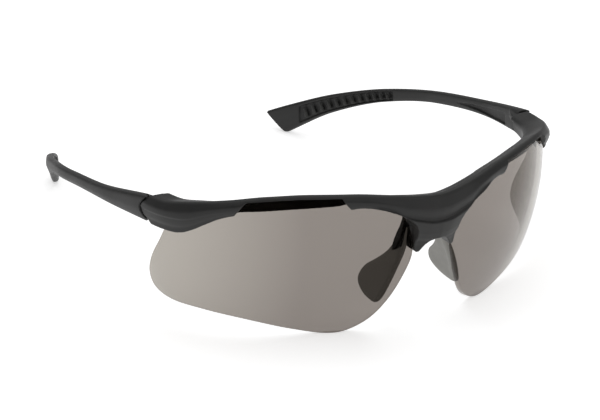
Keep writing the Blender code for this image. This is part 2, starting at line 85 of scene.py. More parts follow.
WEB_FACE = (
    (8, 1.3), (10.5, 1.3), (13, 0.9), (15.3, 0.3), (17, 0.6), (18.5, 1.1), (21, 1.4), (25, 1.7),
    (50, 1.3), (62, 1.1), (74, 0.9), (93, 0.8),
)
# The same just under the crease, where the bridge has a narrow rolled edge and the end piece a soft turn.
UNDER_FACE = (
    (8, 1.9), (10.5, 2.2), (13, 2.5), (15.3, 2.5), (17, 2.5), (21, 2.6), (25, 2.2), (50, 1.7), (62, 1.9),
    (74, 2.1), (93, 1.7),
)
TUCK = ((8, 1.3), (15, 1.2), (22, 0.5), (27, 0.1), (93, 0.1))   # how far the brow turns in above the crease
FRONT_ANGLES = (7.0, 94.0)

# Opening in the front's face that shows the lens edge in front of the bar: angles at its top and foot.
WINDOW_INNER = ((41, 28.8), (46, 32.0))
WINDOW_OUTER = ((41, 57.0), (46, 54.0))
WINDOW_HEIGHTS = (38.0, 41.0, 43.5)
WINDOW_ABOVE_LENS = 1.15

# Lower outline of the bridge from the brow round the fork's tip to the middle of the nose arch.
BRIDGE_OUTLINE = (
    (27.0, 20.0), (27.0, 42.9), (24.4, 43.3), (21.0, 43.1),
    (17.6, 42.4), (14.6, 41.2), (12.2, 39.9), (10.0, 38.4),
    (8.3, 36.7), (7.3, 34.7), (7.0, 32.0), (7.1, 28.6), (6.8, 27.1), (6.1, 26.5), (5.4, 26.7), (4.7, 27.8),
    (3.7, 29.2), (2.6, 30.2), (1.3, 30.8),
)

# Hinge: a screw along Z through two knuckles of the front and the temple's eye between them.
HINGE = (65.9, 48.4)
KNUCKLE_R = 2.2
EYE_R = 2.1
EYE_Z = (36.1, 38.3)
NECK_END = 9.0                  # how far behind the hinge the eye's neck runs into the arm
SCREW_R = 0.75
SCREW_HEAD_R = 1.35
SCREW_HOLE_R = 0.95
SCREW_Z = (34.2, 39.1)
SCREW_HEAD = 0.7
NOSE_REAR = (
    (30.0, 46.0), (32.4, 47.8), (34.2, 50.2), (36.3, 51.0),
    (38.6, 49.6), (40.0, 48.2), (41.2, 47.4), (42.6, 46.8),
)

# Temples: centre line and edges by distance back from the datum.
TEMPLE_CENTRE = (
    (40, 66.2), (52, 68.1), (75, 70.1), (100, 68.7), (125, 63.3), (145, 54.8), (160, 47.0), (174, 40.4),
)
TEMPLE_TOP = (
    (40, 42.0), (52, 39.7), (75, 34.9), (100, 30.3), (125, 24.4), (145, 17.7), (160, 10.8), (174, 3.6),
)
TEMPLE_BOTTOM = (
    (40, 32.0), (52, 31.5), (75, 29.9), (100, 26.2), (125, 19.6), (145, 10.8), (160, 0.7), (174, -9.0),
)
TEMPLE_HALF = ((40, 1.9), (52, 1.9), (75, 1.6), (125, 1.5), (150, 1.8), (174, 1.9))
TEMPLE_SPAN = (41.0, 174.0)
TIP_FOOT = (161.8, 0.0)
TIP_HEAD = (169.5, 6.4)
TIP_FLAT = 3.0                  # length of the flat foot at the tip's lower corner
TIP_ROUND = 1.3                 # how far the rounding of the tip's upper corner reaches

# Soft insert on the inner face of each temple, with ribs across it.
GRIP_SPAN = (120.0, 156.0)
GRIP_DEPTH = 0.9
RIB_COUNT = 12
GRIP_EDGE = (0.14, 0.80)        # lower and upper edge as fractions of the temple's height

# Nose pads: outline seen from the side, and the middle of the pad across the face by height.
PAD_OUTLINE = (
    (4.9, 33.4), (6.4, 33.2), (8.0, 30.0), (9.6, 26.2),
    (11.6, 23.2), (15.0, 20.0), (18.6, 17.0), (20.3, 13.8),
    (19.6, 11.5), (16.5, 9.7), (12.5, 8.9), (8.9, 9.0), (7.4, 11.0), (6.2, 15.0), (5.2, 20.0), (4.7, 25.0),
    (4.7, 30.0),
)
PAD_MIDDLE = ((9, 14.2), (14, 12.4), (20, 10.1), (26, 7.6), (30, 6.4), (34, 6.0))
PAD_CENTRE = (10.5, 17.0)
PAD_HALF = 1.15
LUG_FRONT = ((25.8, 6.3), (26.5, 5.5), (28, 4.9), (31, 4.1), (34, 3.4), (38.5, 2.8))
LUG_REAR = (
    (25.8, 7.0), (26.5, 7.4), (28, 7.5), (31, 6.7), (33, 5.7), (34.5, 5.0), (36.5, 4.3), (38.5, 4.0),
)
LUG_THICK = 1.3
PEG_Y = (5.4, 6.8)
PEG_Z = (26.6, 30.0)
PEG_X = (5.6, 9.2)

# Details that only the fine surfaces have.
LIP = ((8, 1.1), (21, 1.0), (26, 0.0))      # the thin rolled edge under the brow at the bridge
GROOVE_SPAN = (59.5, 92.0)                  # recess along the temple's inner face behind the hinge
GROOVE_FADE = 24.0
GROOVE_DEPTH = 0.9
SLOT_LONG = 0.85                            # half length and half width of the screw's cross slot
SLOT_WIDE = 0.14
MOVING_GAP = GAP + 0.05                     # clearance round the hinge axis
END_HEIGHTS = (28.0, 46.0)                  # heights past both ends of every cutter at the hinge

# Spans that the cutters reach across, each past both sides of what it cuts.
BRIDGE_SPAN = (-8.0, 14.0)                  # front to back at the bridge
NOSE_SPAN = (58.0, 76.0)                    # sideways at the hinge's rounded end
TIP_SPAN = (30.0, 60.0)                     # sideways at the temple's tip
BEHIND_HINGE = 60.0                         # a distance back that is behind the front's knuckles

# Rings of the front: the wrap angle of the last one before the middle plane, and of the section there.
INNER_ANGLE = 11.5
MIDDLE_ANGLE = 10.6


def smooth(pairs, at):
    """The value at one place of the smooth curve through (place, value) pairs, held at both ends."""
    if at <= pairs[0][0]:
        return pairs[0][1]
    if at >= pairs[-1][0]:
        return pairs[-1][1]
    index = max(i for i, pair in enumerate(pairs) if pair[0] <= at)
    slopes = [slope_at(pairs, index), slope_at(pairs, index + 1)]
    (low, low_value), (high, high_value) = pairs[index], pairs[index + 1]
    width = high - low
    t = (at - low) / width
    start = (1 + 2 * t) * (1 - t) ** 2 * low_value + t * (1 - t) ** 2 * width * slopes[0]
    return start + t * t * (3 - 2 * t) * high_value + t * t * (t - 1) * width * slopes[1]


def slope_at(pairs, index):
    """The curve's slope at one pair, which never overshoots its neighbours."""
    steps = [(b[1] - a[1]) / (b[0] - a[0]) for a, b in zip(pairs, pairs[1:])]
    if index == 0:
        return steps[0]
    if index == len(pairs) - 1:
        return steps[-1]
    before, after = steps[index - 1], steps[index]
    return 0.0 if before * after <= 0 else 2 * before * after / (before + after)


def spread(span, steps):
    """Evenly spaced values over a span, both ends included."""
    return [span[0] + (span[1] - span[0]) * i / steps for i in range(steps + 1)]


def closed_curve(points, count, stretch=1.0):
    """Evenly spaced points on the smooth closed curve through a few points."""
    fine = []
    total = len(points)
    for i in range(total):
        p0, p1, p2, p3 = (Vector(points[(i + k - 1) % total]) for k in range(4))
        for j in range(12):
            t = j / 12
            fine.append(0.5 * (2 * p1 + (p2 - p0) * t + (2 * p0 - 5 * p1 + 4 * p2 - p3) * t * t
                               + (3 * p1 - p0 - 3 * p2 + p3) * t ** 3))
    lengths = [math.hypot((b.x - a.x) * stretch, b.y - a.y) for a, b in zip(fine, fine[1:] + fine[:1])]
    step = sum(lengths) / count
    result, walked, index = [], 0.0, 0
    for i in range(count):
        while walked + lengths[index] < i * step:
            walked += lengths[index]
            index += 1
        part = (i * step - walked) / lengths[index]
        result.append(fine[index].lerp(fine[(index + 1) % len(fine)], part))
    return result


def vertex(x, y, z):
    """A point in metres, with the origin under the middle of the object."""
    return Vector((x, y - CENTRE_Y, z)) * MM


def wrap_point(angle, z, outward):
    """A point at a wrap angle and height, a distance outward from the lens's front surface."""
    a, b, c = (radius + outward for radius in WRAP_RADII)
    rise = z - WRAP_CENTRE[2]
    narrow = math.sqrt(1 - (rise / c) ** 2)
    turn = math.radians(angle)
    x = WRAP_CENTRE[0] + a * narrow * math.sin(turn)
    y = WRAP_CENTRE[1] + WRAP_LEAN * rise - b * narrow * math.cos(turn)
    return vertex(x, y, z)


def linear(pairs, at):
    """The value at one place of the straight line through two (place, value) pairs."""
    (low, low_value), (high, high_value) = pairs
    return low_value + (high_value - low_value) * (at - low) / (high - low)


def chaikin(points, rounds=2):
    """A closed outline with its corners cut again and again, which rounds them."""
    for _ in range(rounds):
        cut = []
        for a, b in zip(points, points[1:] + points[:1]):
            cut.append((0.75 * a[0] + 0.25 * b[0], 0.75 * a[1] + 0.25 * b[1]))
            cut.append((0.25 * a[0] + 0.75 * b[0], 0.25 * a[1] + 0.75 * b[1]))
        points = cut
    return points


def make_object(name, mesh):
    """A mesh put into the scene as an object."""
    obj = bpy.data.objects.new(name, mesh)
    bpy.context.scene.collection.objects.link(obj)
    return obj


def loft(name, rings):
    """A closed solid through rings of points, with a fan over each end."""
    bm = bmesh.new()
    loops = [[bm.verts.new(point) for point in ring] for ring in rings]
    count = len(loops[0])
    for near, far in zip(loops, loops[1:]):
        for i in range(count):
            j = (i + 1) % count
            bm.faces.new((near[i], near[j], far[j], far[i]))
    for loop in (loops[0], loops[-1]):
        hub = bm.verts.new(sum((v.co for v in loop), Vector()) / count)
        for i in range(count):
            bm.faces.new((hub, loop[i], loop[(i + 1) % count]))
    bmesh.ops.recalc_face_normals(bm, faces=bm.faces)
    mesh = bpy.data.meshes.new(name)
    bm.to_mesh(mesh)
    bm.free()
    return make_object(name, mesh)


def prism(name, outline, low, high, to_vertex):
    """A flat outline extruded between two levels, with one flat face over each end."""
    bm = bmesh.new()
    loops = [[bm.verts.new(to_vertex(u, v, level)) for u, v in outline] for level in (low, high)]
    count = len(outline)
    for i in range(count):
        j = (i + 1) % count
        bm.faces.new((loops[0][i], loops[0][j], loops[1][j], loops[1][i]))
    bm.faces.new(reversed(loops[0]))
    bm.faces.new(loops[1])
    bmesh.ops.recalc_face_normals(bm, faces=bm.faces)
    mesh = bpy.data.meshes.new(name)
    bm.to_mesh(mesh)
    bm.free()
    return make_object(name, mesh)


def across(y, z, x):
    """Places a point of a side view outline at a distance across."""
    return vertex(x, y, z)


def cylinder(name, x, y, radius, low, high, sides=48):
    """An upright cylinder between two heights."""
    turns = [math.tau * i / sides for i in range(sides)]
    outline = [(x + radius * math.cos(t), y + radius * math.sin(t)) for t in turns]
    return prism(name, outline, low, high, vertex)


def cut(obj, cutter, operation="DIFFERENCE"):
    """Takes one shape from another, or joins it on with UNION."""
    modifier = obj.modifiers.new(cutter.name, "BOOLEAN")
    modifier.operation = operation
    modifier.solver = "EXACT"
    modifier.object = cutter
    GUIDES.append(cutter)


def add_mirror(obj):
    """Repeats a shape on the other side of the middle plane."""
    modifier = obj.modifiers.new("Mirror", "MIRROR")
    modifier.use_axis = (True, False, False)
    modifier.use_mirror_merge = False


def soften(obj, voxel, passes):
    """Moulded edges: the shape is remeshed finely and smoothed a little."""
    remesh = obj.modifiers.new("Remesh", "REMESH")
    remesh.mode = "VOXEL"
    remesh.voxel_size = voxel * MM
    remesh.use_smooth_shade = True
    ease = obj.modifiers.new("Smooth", "SMOOTH")
    ease.factor = 0.5
    ease.iterations = passes


def baked(obj, name, side=1):
    """A plain mesh object from an object's modifiers, or its mirror image where side is -1."""
    bpy.context.view_layer.update()
    shape = obj.evaluated_get(bpy.context.evaluated_depsgraph_get())
    mesh = bpy.data.meshes.new_from_object(shape)
    mesh.name = name
    if side < 0:
        mesh.transform(Matrix.Scale(-1, 4, (1, 0, 0)))
        mesh.flip_normals()
    mesh.shade_smooth()
    return make_object(name, mesh)


def lens_outline(count, grow=0.0):
    """The lens outline as wrap angles and heights, pushed outward by grow millimetres."""
    points = closed_curve(LENS_TOP + LENS_EDGE, count, stretch=1.2)
    if not grow:
        return points
    grown = []
    for before, point, after in zip(points[-1:] + points[:-1], points, points[1:] + points[:1]):
        along = Vector(((after.x - before.x) * 1.2, after.y - before.y)).normalized()
        grown.append(point + Vector((-along.y / 1.2, along.x)) * grow)
    return grown


def lens_guide(name, grow, count=200):
    """The lens with a clearance all round, to cut its seat."""
    outline = lens_outline(count, grow)
    middle = Vector(LENS_MIDDLE)
    front = [[middle.lerp(p, share) for p in outline] for share in (0.05, 0.2, 0.4, 0.6, 0.8, 0.92, 1.0)]
    rings = [[wrap_point(p.x, p.y, grow) for p in ring] for ring in front]
    rings += [[wrap_point(p.x, p.y, -LENS_THICK - grow) for p in ring] for ring in reversed(front)]
    return loft(name, rings)


# ---------------------------------------------------------------- materials
def new_material(name):
    """A material with its node tree, its shader and the object's own coordinates in metres."""
    material = bpy.data.materials.new(name)
    material.use_nodes = True
    tree = material.node_tree
    coords = tree.nodes.new("ShaderNodeTexCoord").outputs["Object"]
    return material, tree, tree.nodes["Principled BSDF"], coords


def link(tree, source, target):
    tree.links.new(source, target)


def noise(tree, coords, scale, detail=3.0, roughness=0.55):
    node = tree.nodes.new("ShaderNodeTexNoise")
    node.inputs["Scale"].default_value = scale
    node.inputs["Detail"].default_value = detail
    node.inputs["Roughness"].default_value = roughness
    link(tree, coords, node.inputs["Vector"])
    return node.outputs["Fac"]


def remap(tree, source, low, high, from_low=0.3, from_high=0.7):
    node = tree.nodes.new("ShaderNodeMapRange")
    node.inputs["From Min"].default_value = from_low
    node.inputs["From Max"].default_value = from_high
    node.inputs["To Min"].default_value = low
    node.inputs["To Max"].default_value = high
    link(tree, source, node.inputs["Value"])
    return node.outputs["Result"]


def ramp(tree, source, stops):
    node = tree.nodes.new("ShaderNodeValToRGB")
    elements = node.color_ramp.elements
    while len(elements) < len(stops):
        elements.new(0.5)
    for element, (place, colour) in zip(elements, stops):
        element.position = place
        element.color = (*colour, 1.0)
    link(tree, source, node.inputs["Fac"])
    return node.outputs["Color"]


def bump(tree, shader, height, strength, distance):
    node = tree.nodes.new("ShaderNodeBump")
    node.inputs["Strength"].default_value = strength
    node.inputs["Distance"].default_value = distance
    link(tree, height, node.inputs["Height"])
    link(tree, node.outputs["Normal"], shader.inputs["Normal"])


def nylon():
    """Black moulded nylon: a fine satin grain with slight patches of sheen."""
    material, tree, shader, coords = new_material("black_nylon_fine")
    grain = noise(tree, coords, 2600.0, 2.0)
    patches = noise(tree, coords, 90.0, 3.0)
    shades = ((0.3, (0.013, 0.013, 0.0126)), (0.75, (0.020, 0.0198, 0.0192)))
    link(tree, ramp(tree, patches, shades), shader.inputs["Base Color"])
    link(tree, remap(tree, patches, 0.44, 0.56), shader.inputs["Roughness"])
    shader.inputs["Specular IOR Level"].default_value = 0.32
    bump(tree, shader, grain, 0.35, 0.00006)
    return material


def rubber(name, dark, light, painted_glow=0.0):
    """Soft elastomer: dull, with a very fine bloom, and a painted glow: an even emission that stands in for
    the light that passes through it and lifts it where it lies in shade.
    """
    material, tree, shader, coords = new_material(name)
    grain = noise(tree, coords, 1800.0, 2.0)
    patches = noise(tree, coords, 160.0, 3.0)
    link(tree, ramp(tree, patches, ((0.3, dark), (0.75, light))), shader.inputs["Base Color"])
    link(tree, remap(tree, grain, 0.62, 0.74), shader.inputs["Roughness"])
    shader.inputs["Specular IOR Level"].default_value = 0.35
    # Painted glow: this emission brightens the rubber evenly, as if lit, though it is no lamp.
    shader.inputs["Emission Color"].default_value = (1.0, 0.98, 0.92, 1.0)
    shader.inputs["Emission Strength"].default_value = painted_glow
    bump(tree, shader, grain, 0.3, 0.00005)
    return material


def steel():
    """Small machined screw: fine turning marks round its axis."""
    material, tree, shader, coords = new_material("screw_steel_fine")
    shader.inputs["Metallic"].default_value = 1.0
    marks = noise(tree, coords, 5200.0, 2.0)
    shades = ((0.3, (0.32, 0.32, 0.33)), (0.7, (0.52, 0.52, 0.53)))
    link(tree, ramp(tree, marks, shades), shader.inputs["Base Color"])
    link(tree, remap(tree, marks, 0.24, 0.42), shader.inputs["Roughness"])
    bump(tree, shader, marks, 0.15, 0.00003)
    return material


def tinted(name, nasal, temporal, gloss, reflect):
    """Tinted polycarbonate: each face filters the light, more at the nose where the lens is thicker."""
    material, tree, shader, coords = new_material(name)
    tree.nodes.remove(shader)
    split = tree.nodes.new("ShaderNodeSeparateXYZ")
    link(tree, coords, split.inputs["Vector"])
    size = tree.nodes.new("ShaderNodeMath")
    size.operation = "ABSOLUTE"
    link(tree, split.outputs["X"], size.inputs[0])
    across_lens = remap(tree, size.outputs[0], 0.0, 1.0, 0.037, 0.069)
    clear = tree.nodes.new("ShaderNodeBsdfTransparent")
    link(tree, ramp(tree, across_lens, ((0.0, nasal), (1.0, temporal))), clear.inputs["Color"])
    shine = tree.nodes.new("ShaderNodeBsdfGlossy")
    haze = noise(tree, coords, 35.0, 2.0)
    link(tree, remap(tree, haze, gloss, gloss * 1.6), shine.inputs["Roughness"])
    facing = tree.nodes.new("ShaderNodeLayerWeight")
    facing.inputs["Blend"].default_value = 0.5
    power = tree.nodes.new("ShaderNodeMath")
    power.operation = "POWER"
    power.inputs[1].default_value = 5.0
    link(tree, facing.outputs["Facing"], power.inputs[0])
    mix = tree.nodes.new("ShaderNodeMixShader")
    link(tree, remap(tree, power.outputs[0], reflect, 1.0, 0.0, 1.0), mix.inputs["Fac"])
    link(tree, clear.outputs["BSDF"], mix.inputs[1])
    link(tree, shine.outputs["BSDF"], mix.inputs[2])
    link(tree, mix.outputs["Shader"], tree.nodes["Material Output"].inputs["Surface"])
    return material


def dress(obj, materials, slot, body, *nodes):
    """Gives a piece its materials and its body, and hides the CAD nodes that it stands for; the slot
    argument is not used.
    """
    obj.data.materials.clear()
    for material in materials:
        obj.data.materials.append(material)
    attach(obj, body)
    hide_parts(*nodes)


# ---------------------------------------------------------------- front
def front_section(angle):
    """The front's section at a wrap angle: a brow over a web at the bridge, one rounded bar elsewhere."""
    top, bottom = smooth(FRONT_TOP, angle), smooth(FRONT_BOTTOM, angle)
    crease, bulge = smooth(FRONT_CREASE, angle), smooth(FRONT_BULGE, angle)
    back, web = smooth(FRONT_BACK, angle), smooth(WEB_FACE, angle)
    lip = smooth(LIP, angle)
    under, tuck = smooth(UNDER_FACE, angle) + lip, smooth(TUCK, angle) - 0.4 * lip
    drop, rise = smooth(FRONT_BACK_DROP, angle), smooth(FRONT_BACK_RISE, angle)
    crease = max(crease, bottom + 0.9)
    height, skirt = top - crease, crease - bottom
    shoulder = bulge - 1.0
    rear_top, rear_foot = top - drop, bottom + rise
    soft = min(1.4, 0.35 * (rear_top - rear_foot))
    return [
        (back, rear_top - soft), (back + 0.4, rear_top - 0.4 * soft), (back + 1.5, top - 0.75 * drop),
        ((back + shoulder) / 2, top - 0.45 * drop), (shoulder - 0.9, top - 0.05),
        (shoulder - 0.1, top - 0.4), (bulge - 0.45, top - 0.35 * height), (bulge, crease + 0.45 * height),
        (bulge - 0.35 * tuck, crease + 0.22 * height), (bulge - tuck, crease + 0.1 * soft),
        (under, crease - 0.15 * soft), (under - 0.1, crease - 0.5 * soft),
        ((web + under) / 2, crease - 0.45 * skirt),
        (web, bottom + 0.35 * skirt), (web - 0.15, bottom + 0.15 * soft),
        (web - 0.7, bottom), (back + 0.8, rear_foot), (back, rear_foot + 0.5 * soft),
        (back, (rear_top + rear_foot) / 2),
    ]


def middle_angle(z, outward):
    """The wrap angle at which a surface crosses the middle plane."""
    narrow = math.sqrt(1 - ((z - WRAP_CENTRE[2]) / (WRAP_RADII[2] + outward)) ** 2)
    return math.degrees(math.asin(-WRAP_CENTRE[0] / ((WRAP_RADII[0] + outward) * narrow)))


def build_front():
    """The moulded front: the bar and bridge, with the seats, lugs, pegs and knuckles."""
    half = []
    for angle in spread((FRONT_ANGLES[1], INNER_ANGLE), 175):
        half.append([wrap_point(angle, z, outward) for outward, z in chaikin(front_section(angle), 1)])
    middle = chaikin(front_section(MIDDLE_ANGLE), 1)
    centre = [[wrap_point(middle_angle(z, outward), z, outward) for outward, z in middle]]
    other = [[Vector((-p.x, p.y, p.z)) for p in ring] for ring in reversed(half)]
    front = loft("front_guide", half + centre + other)
    half = list(BRIDGE_OUTLINE)
    outline = half + [(-x, z) for x, z in reversed(half)]
    cut(front, prism("bridge_cutter", outline, *BRIDGE_SPAN, lambda x, z, y: vertex(x, y, z)))
    lug_rings = []
    for z in spread((LUG_FRONT[0][0], LUG_FRONT[-1][0]), 24):
        near = smooth(PAD_MIDDLE, z) + PAD_HALF + GAP
        far = near + LUG_THICK
        corners = ((near, LUG_FRONT), (far, LUG_FRONT), (far, LUG_REAR), (near, LUG_REAR))
        lug_rings.append([vertex(x, smooth(edge, z), z) for x, edge in corners])
    lug = loft("pad_lug", lug_rings)
    peg_outline = [(PEG_X[0], PEG_Y[0]), (PEG_X[1], PEG_Y[0]), (PEG_X[1], PEG_Y[1]), (PEG_X[0], PEG_Y[1])]
    peg = prism("pad_peg", peg_outline, PEG_Z[0], PEG_Z[1], vertex)
    for extra in (lug, peg):
        add_mirror(extra)
        cut(front, extra, "UNION")
    x, y = HINGE
    below, above = END_HEIGHTS
    turns = spread((0.0, math.pi / 2), 16)
    arc = [(x - KNUCKLE_R * math.sin(t), y + KNUCKLE_R * math.cos(t)) for t in turns]
    corner = [(x, BEHIND_HINGE)] + arc
    corner += [(x - KNUCKLE_R, y - 0.6), (55.0, y - 0.6), (55.0, BEHIND_HINGE)]
    radius = EYE_R + MOVING_GAP
    slot_turns = spread((-math.pi / 2, 0.0), 16)
    slot_arc = [(x + radius * math.cos(t), y + radius * math.sin(t)) for t in slot_turns]
    slot = slot_arc + [(x + radius, BEHIND_HINGE), (50.0, BEHIND_HINGE), (50.0, y - radius)]
    for cutter in (
        lens_guide("lens_seat", GAP), window_guide(), nose_guide("nose_rear", 0.0, 70.0),
        prism("knuckle_corner", corner, below, above, vertex),
        prism("eye_slot", slot, EYE_Z[0] - GAP, EYE_Z[1] + GAP, vertex),
        cylinder("screw_hole", x, y, SCREW_HOLE_R, below, SCREW_Z[1] + GAP),
        cylinder("screw_recess", x, y, SCREW_HEAD_R + GAP, below, SCREW_Z[0] + SCREW_HEAD + GAP),
    ):
        add_mirror(cutter)
        cut(front, cutter)
    soften(front, FRONT_VOXEL, 8)
    GUIDES.append(front)
    return baked(front, "front_moulding")


def window_guide():
    """The opening in the front's face, with a ceiling that slopes down to the lens edge."""
    rings = []
    for share in spread((0.0, 1.0), 60):
        def at(z):
            inner = linear(WINDOW_INNER, z)
            return inner + (linear(WINDOW_OUTER, z) - inner) * share
        heights, edge = list(WINDOW_HEIGHTS), smooth(LENS_TOP, at(46))
        top = edge + WINDOW_ABOVE_LENS
        face = [wrap_point(at(z), z, 9.0) for z in heights + [top]]
        ceiling = [wrap_point(at(top), top, GAP)]
        rear = [wrap_point(at(z), z, -LENS_THICK - GAP) for z in reversed(heights + [edge + GAP])]
        rings.append(face + ceiling + rear)
    return loft("lens_window", rings)


def nose_guide(name, grow, far):
    """The space between the front's rounded end, pushed back by grow, and a plane across at far."""
    curve = [Vector((smooth(NOSE_REAR, z), z)) for z in spread((NOSE_REAR[0][0], NOSE_REAR[-1][0]), 60)]
    rear = []
    for before, point, after in zip(curve[:1] + curve, curve, curve[1:] + curve[-1:]):
        along = (after - before).normalized()
        rear.append(point + Vector((along.y, -along.x)) * grow)
    outline = [(far, rear[0].y)] + [tuple(point) for point in rear] + [(far, rear[-1].y)]
    return prism(name, outline, *NOSE_SPAN, across)


# ---------------------------------------------------------------- lenses
def build_lens(side, name):
    """The lens with a finely rounded cut edge."""
    count = 260
    middle = Vector(LENS_MIDDLE)
    inner = lens_outline(count, -0.35)
    shares = (0.03, 0.12, 0.25, 0.4, 0.55, 0.7, 0.82, 0.91, 0.97, 1.0)
    faces = [[middle.lerp(p, share) for p in inner] for share in shares]
    rim = ((-0.20, 0.0), (-0.07, -0.06), (0.0, -0.2), (0.0, -LENS_THICK / 2), (0.0, 0.2 - LENS_THICK),
           (-0.07, 0.06 - LENS_THICK), (-0.20, -LENS_THICK))
    rings = [[wrap_point(p.x, p.y, 0.0) for p in ring] for ring in faces]
    rings += [[wrap_point(p.x, p.y, depth) for p in lens_outline(count, grow)] for grow, depth in rim]
    rings += [[wrap_point(p.x, p.y, -LENS_THICK) for p in ring] for ring in reversed(faces)]
    guide = loft(name + "_guide", rings)
    edge = range(count * len(faces), count * (len(faces) + len(rim) - 1))
    for face in edge:
        guide.data.polygons[face].material_index = 1
    GUIDES.append(guide)
    return baked(guide, name, side)


# ---------------------------------------------------------------- nose pads
def build_pad():
    """The pad: rings from the middle of its dished inner side, round the rim, to its outer side."""
    outline = closed_curve(PAD_OUTLINE, 120)
    middle = Vector(PAD_CENTRE)
    levels = (
        (0.06, -0.55), (0.25, -0.58), (0.45, -0.68), (0.62, -0.86), (0.74, -0.98), (0.86, -1.0),
        (0.94, -0.86), (0.985, -0.55), (1.0, -0.1), (1.0, 0.2), (0.97, 0.7), (0.9, 0.95),
        (0.8, 1.0), (0.5, 1.0), (0.1, 1.0),
    )
    rings = []
    for share, offset in levels:
        ring = []
        for point in outline:
            y, z = middle.lerp(point, share)
            ring.append(vertex(smooth(PAD_MIDDLE, z) + offset * PAD_HALF, y, z))
        rings.append(ring)
    pad = loft("pad_guide", rings)
    cut(pad, lens_guide("pad_lens_cutter", GAP))
    low, high = (PEG_Y[0] - GAP, PEG_Z[0] - GAP), (PEG_Y[1] + GAP, PEG_Z[1] + GAP)
    slot = [low, (high[0], low[1]), high, (low[0], high[1])]
    cut(pad, prism("pad_slot", slot, 0.0, 12.0, across))
    soften(pad, PAD_VOXEL, 3)
    GUIDES.append(pad)
    return pad


# ---------------------------------------------------------------- temples
def temple_section(y):
    """The temple's top, bottom, centre line and half thickness at a distance back."""
    return smooth(TEMPLE_TOP, y), smooth(TEMPLE_BOTTOM, y), smooth(TEMPLE_CENTRE, y), smooth(TEMPLE_HALF, y)


def build_arm():
    """The temple, with its hinge eye, slanting end, recess and grip pocket."""
    rings = []
    for y in spread(TEMPLE_SPAN, 200):
        top, bottom, centre, half = temple_section(y)
        height = top - bottom
        profile = [
            (half - 0.9, top), (half - 0.2, top - 0.10 * height), (half, top - 0.45 * height),
            (half - 0.15, top - 0.60 * height), (half - 0.8, bottom + 0.14 * height),
            (half - 1.6, bottom), (0.6 - half, bottom), (-half, bottom + 0.12 * height),
            (-half, top - 0.12 * height), (0.6 - half, top),
        ]
        rings.append([vertex(centre + x, y, z) for x, z in chaikin(profile, 1)])
    arm = loft("arm_guide", rings)
    x, y = HINGE
    cut(arm, nose_guide("nose_front", GAP, 20.0))
    below, above = END_HEIGHTS
    cut(arm, cylinder("knuckle_clearance", x, y, KNUCKLE_R + MOVING_GAP, below, above))
    end = y + NECK_END
    neck = [(x - EYE_R, y), (x + EYE_R, y), (x + EYE_R, end), (x + 1.2, end), (x - 1.4, y + 4.5)]
    cut(arm, cylinder("temple_eye", x, y, EYE_R, EYE_Z[0], EYE_Z[1]), "UNION")
    cut(arm, prism("temple_neck", neck, EYE_Z[0], EYE_Z[1], vertex), "UNION")
    cut(arm, cylinder("eye_hole", x, y, SCREW_HOLE_R, below, above))
    cut(arm, tip_guide())
    cut(arm, groove())
    cut(arm, grip_loft("grip_pocket", 0.1, 3.0))
    soften(arm, ARM_VOXEL, 9)
    GUIDES.append(arm)
    return arm


def tip_guide():
    """The space past the temple's slanting end, with a rounded upper corner and a flat foot."""
    foot, head = Vector(TIP_FOOT), Vector(TIP_HEAD)
    along = (head - foot).normalized()
    start, end = head - along * TIP_ROUND, head + Vector((-TIP_ROUND, 0.5 * TIP_ROUND))
    corner = []
    for t in spread((0.0, 1.0), 12):
        corner.append(tuple(start.lerp(head, t).lerp(head.lerp(end, t), t)))
    outline = [
        (foot.x - TIP_FLAT - 30.0, -20.0), (foot.x - TIP_FLAT - 30.0, 0.0), tuple(foot), *corner,
        (end.x - 2.0, end.y + 30.0), (200.0, end.y + 30.0), (200.0, -20.0),
    ]
    return prism("tip_cutter", outline, *TIP_SPAN, across)


def groove():
    """The long shallow recess along the inner face behind the hinge."""
    rings = []
    for y in spread(GROOVE_SPAN, 60):
        top, bottom, centre, half = temple_section(y)
        fade = min(1.0, (GROOVE_SPAN[1] - y) / GROOVE_FADE)
        depth = GROOVE_DEPTH * min(1.0, fade * 1.6)
        high = bottom + (top - bottom) * (0.50 + 0.16 * fade)
        low = bottom + (top - bottom) * (0.50 - 0.36 * fade)
        face = centre - half
        corners = ((face - 2.0, low), (face + depth, low), (face + depth, high), (face - 2.0, high))
        rings.append([vertex(u, y, z) for u, z in corners])
    return loft("arm_groove", rings)


def grip_loft(name, grow, proud, steps=48):
    """The soft insert's body, or the pocket for it where grow is its clearance."""
    rings = []
    for y in spread((GRIP_SPAN[0] - grow, GRIP_SPAN[1] + grow), steps):
        top, bottom, centre, half = temple_section(y)
        height = top - bottom
        low = bottom + GRIP_EDGE[0] * height - grow
        high = bottom + GRIP_EDGE[1] * height + grow
        face = centre - half
        rings.append([vertex(u, y, z) for u, z in (
            (face + GRIP_DEPTH + grow, low), (face + GRIP_DEPTH + grow, high), (face - proud * 0.4, high),
            (face - proud, high - 0.5), (face - proud, low + 0.5), (face - proud * 0.4, low))])
    return loft(name, rings)


def build_grip():
    """The insert: a raised band along its lower half, and thin fins that lean from it across a trough."""
    body = grip_loft("grip_guide", 0.12, 0.1, 120)
    rings = []
    for y in spread((GRIP_SPAN[0] + 0.5, GRIP_SPAN[1] - 0.5), 100):
        top, bottom, centre, half = temple_section(y)
        height = top - bottom
        face = centre - half
        low = bottom + (GRIP_EDGE[0] + 0.03) * height
        high = bottom + (GRIP_EDGE[0] + 0.26) * height
        rings.append([vertex(u, y, z) for u, z in (
            (face + 0.4, low), (face + 0.4, high), (face - 0.10, high - 0.1), (face - 0.45, high - 0.9),
            (face - 0.55, low + 0.9), (face - 0.15, low + 0.1))])
    cut(body, loft("grip_band", rings), "UNION")
    for y in spread((GRIP_SPAN[0] + 2.2, GRIP_SPAN[1] - 2.4), RIB_COUNT - 1):
        cut(body, fin(y), "UNION")
    soften(body, GRIP_VOXEL, 2)
    GUIDES.append(body)
    return body


